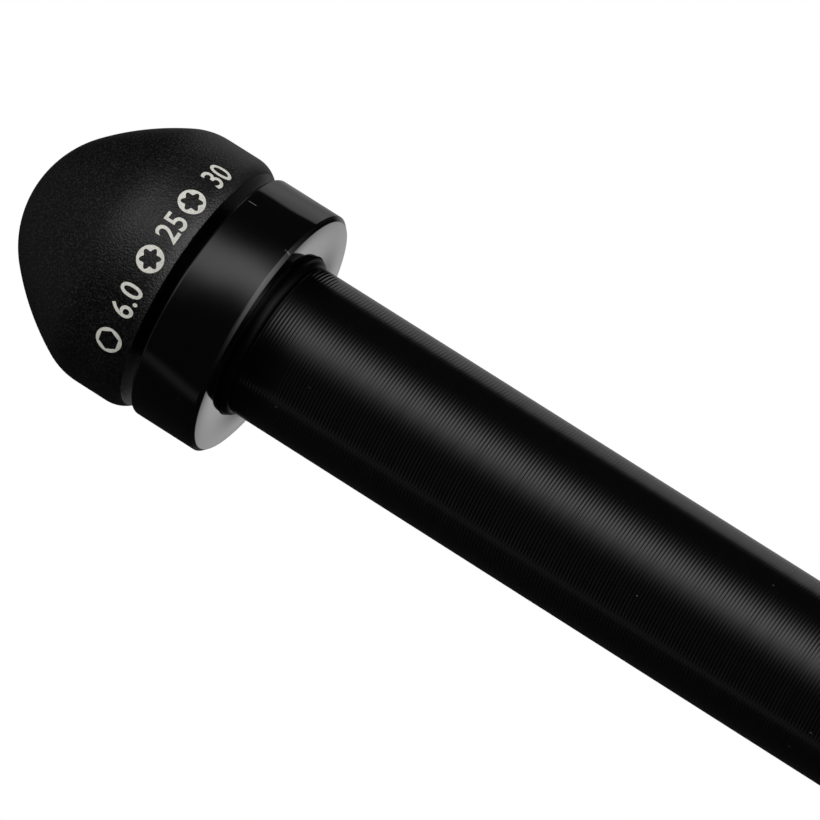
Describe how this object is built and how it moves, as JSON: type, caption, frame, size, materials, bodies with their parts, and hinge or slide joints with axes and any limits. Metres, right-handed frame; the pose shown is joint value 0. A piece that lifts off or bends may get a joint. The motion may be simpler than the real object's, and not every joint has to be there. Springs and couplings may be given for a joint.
{
  "type": "bicycle rear through axle",
  "caption": "Hollow black rear through axle with a turned collar, a rubber seal ring and a domed end that pulls out as a grip for a reversible key.",
  "frame": {"origin": "centre of the flat threaded end, on which the axle stands", "axes": "+Z along the axle's axis, from the threaded end to the head"},
  "size_m": [0.0202, 0.0202, 0.2001],
  "materials": {
    "axle_finish": "turned, black anodised, gloss",
    "seal_rubber": "black nitrile rubber",
    "grip_finish": "bead blasted, black anodised, matte",
    "ring_rubber": "black nitrile rubber",
    "key_steel": "hardened steel, satin",
    "magnet_plating": "nickel plated"
  },
  "bodies": {
    "axle": {"axle_body": "axle_finish", "face_o_ring": "seal_rubber"},
    "tool": {"tool_grip": "grip_finish", "grip_o_ring": "ring_rubber", "key_magnet": "magnet_plating"},
    "key": {"key_bar": "key_steel"}
  },
  "joints": [
    {"name": "tool_pull", "type": "slide", "parent": "axle", "child": "tool", "axis": [0, 0, 1], "range_m": [0, 0.06]},
    {"name": "key_pull", "type": "slide", "parent": "tool", "child": "key", "axis": [0, 0, -1], "range_m": [0, 0.02]}
  ]
}
